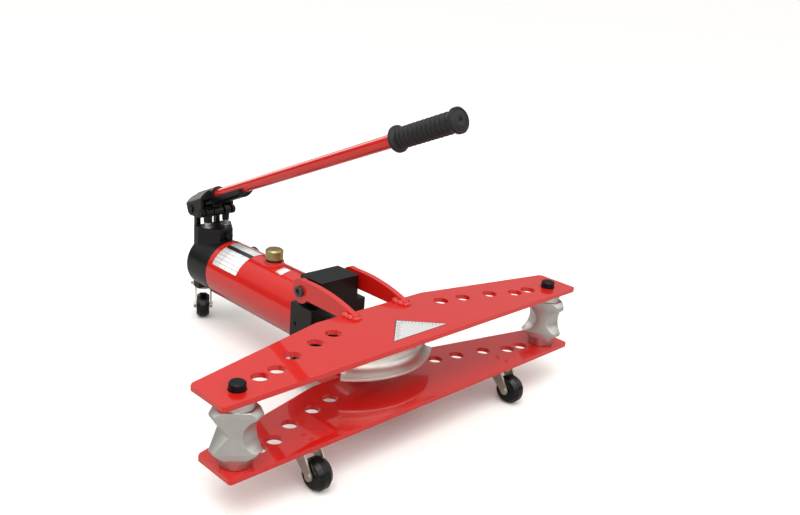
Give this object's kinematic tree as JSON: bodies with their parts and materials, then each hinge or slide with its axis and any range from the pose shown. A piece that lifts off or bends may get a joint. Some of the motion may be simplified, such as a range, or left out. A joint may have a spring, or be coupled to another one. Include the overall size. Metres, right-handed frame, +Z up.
{
  "type": "hydraulic pipe bender",
  "caption": "Hand-pumped hydraulic pipe bender on casters: a lever pumps a ram that pushes a curved former between wing plates with turning, grooved roller blocks.",
  "frame": {"origin": "on the floor, in the middle of the footprint", "axes": "+X to the right along the wings, +Y back towards the pump, +Z up"},
  "size_m": [0.7734, 0.691, 0.5415],
  "materials": {
    "red_paint": "gloss red paint",
    "black_paint": "satin black paint on castings",
    "bright_steel": "machined",
    "cast_aluminium": "as cast",
    "brass": "dull",
    "black_rubber": "satin",
    "zinc_plate": "zinc plated"
  },
  "bodies": {
    "frame": {"lower_plate": "red_paint", "left_lower_arm": "red_paint", "right_lower_arm": "red_paint", "lower_arm_bolts": "bright_steel", "pivot_bolts": "bright_steel", "front_block": "black_paint", "set_screws": "bright_steel", "ram_wiper": "black_rubber", "reservoir_tube": "red_paint", "pressure_cylinder": "bright_steel", "filler_boss": "red_paint", "pump_body": "black_paint", "relief_plug": "black_paint", "big_gland": "bright_steel", "small_gland": "bright_steel", "fulcrum_bracket": "black_paint", "bracket_bolts": "bright_steel", "fulcrum_pin": "bright_steel", "left_caster_plate": "zinc_plate", "right_caster_plate": "zinc_plate", "rear_caster_plate": "zinc_plate", "caster_screws": "bright_steel"},
    "wing": {"upper_plate": "red_paint", "left_upper_arm": "red_paint", "right_upper_arm": "red_paint"},
    "ram": {"ram": "bright_steel", "piston": "bright_steel", "piston_seal": "black_rubber", "bending_former": "cast_aluminium"},
    "left_roller": {"left_roller": "cast_aluminium"},
    "right_roller": {"right_roller": "cast_aluminium"},
    "left_pin": {"left_pin": "black_paint"},
    "right_pin": {"right_pin": "black_paint"},
    "cap": {"filler_cap": "brass", "filler_washer": "black_rubber"},
    "lever": {"handle_socket": "black_paint", "handle_tube": "red_paint", "handle_grip": "black_rubber", "plunger_pin": "bright_steel"},
    "big_pump": {"big_plunger": "bright_steel", "big_eye": "black_paint"},
    "small_pump": {"small_plunger": "bright_steel", "small_eye": "black_paint"},
    "release": {"release_spindle": "bright_steel", "release_knob": "black_paint"},
    "left_swivel": {"left_fork": "zinc_plate", "left_axle": "zinc_plate"},
    "left_wheel": {"left_wheel": "black_rubber"},
    "right_swivel": {"right_fork": "zinc_plate", "right_axle": "zinc_plate"},
    "right_wheel": {"right_wheel": "black_rubber"},
    "rear_swivel": {"rear_fork": "zinc_plate", "rear_axle": "zinc_plate"},
    "rear_wheel": {"rear_wheel": "black_rubber"}
  },
  "joints": [
    {"name": "ram_slide", "type": "slide", "parent": "frame", "child": "ram", "axis": [0, -1, 0], "range_m": [-0.055, 0.195]},
    {"name": "wing_flip", "type": "hinge", "parent": "frame", "child": "wing", "pos_m": [0, -0.0675, 0.188], "axis": [-1, 0, 0], "range_deg": [0, 45]},
    {"name": "handle_rock", "type": "hinge", "parent": "frame", "child": "lever", "pos_m": [0, 0.3135, 0.232], "axis": [-1, 0, 0], "range_deg": [0, 22]},
    {"name": "big_plunger_slide", "type": "slide", "parent": "frame", "child": "big_pump", "axis": [0, 0, 1], "range_m": [0, 0.01345]},
    {"name": "small_plunger_slide", "type": "slide", "parent": "frame", "child": "small_pump", "axis": [0, 0, 1], "range_m": [0, 0.01345]},
    {"name": "left_roller_turn", "type": "hinge", "parent": "frame", "child": "left_roller", "pos_m": [-0.3401, -0.2895, 0.1285], "axis": [0, 0, 1], "continuous": true},
    {"name": "left_pin_lift", "type": "slide", "parent": "frame", "child": "left_pin", "axis": [0, 0, 1], "range_m": [0, 0.13]},
    {"name": "right_roller_turn", "type": "hinge", "parent": "frame", "child": "right_roller", "pos_m": [0.3401, -0.2895, 0.1285], "axis": [0, 0, 1], "continuous": true},
    {"name": "right_pin_lift", "type": "slide", "parent": "frame", "child": "right_pin", "axis": [0, 0, 1], "range_m": [0, 0.13]},
    {"name": "cap_turn", "type": "hinge", "parent": "frame", "child": "cap", "pos_m": [0, 0.0875, 0.2], "axis": [0, 0, 1], "continuous": true},
    {"name": "release_turn", "type": "hinge", "parent": "frame", "child": "release", "pos_m": [0.07, 0.2625, 0.1245], "axis": [1, 0, 0], "range_deg": [0, 360]},
    {"name": "left_caster_swivel", "type": "hinge", "parent": "frame", "child": "left_swivel", "pos_m": [-0.22099, -0.2965, 0.057], "axis": [0, 0, 1], "continuous": true},
    {"name": "left_wheel_spin", "type": "hinge", "parent": "left_swivel", "child": "left_wheel", "pos_m": [-0.22099, -0.3205, 0.025], "axis": [1, 0, 0], "continuous": true},
    {"name": "right_caster_swivel", "type": "hinge", "parent": "frame", "child": "right_swivel", "pos_m": [0.22099, -0.2965, 0.057], "axis": [0, 0, 1], "continuous": true},
    {"name": "right_wheel_spin", "type": "hinge", "parent": "right_swivel", "child": "right_wheel", "pos_m": [0.22099, -0.3205, 0.025], "axis": [1, 0, 0], "continuous": true},
    {"name": "rear_caster_swivel", "type": "hinge", "parent": "frame", "child": "rear_swivel", "pos_m": [0, 0.3255, 0.057], "axis": [0, 0, 1], "continuous": true},
    {"name": "rear_wheel_spin", "type": "hinge", "parent": "rear_swivel", "child": "rear_wheel", "pos_m": [-0.01342, 0.3056, 0.025], "axis": [0.829, -0.5592, 0], "continuous": true}
  ],
  "couplings": [
    {"joint": "big_plunger_slide", "follows": "handle_rock", "m_per_rad": 0.0345},
    {"joint": "small_plunger_slide", "follows": "handle_rock", "m_per_rad": 0.0345}
  ]
}
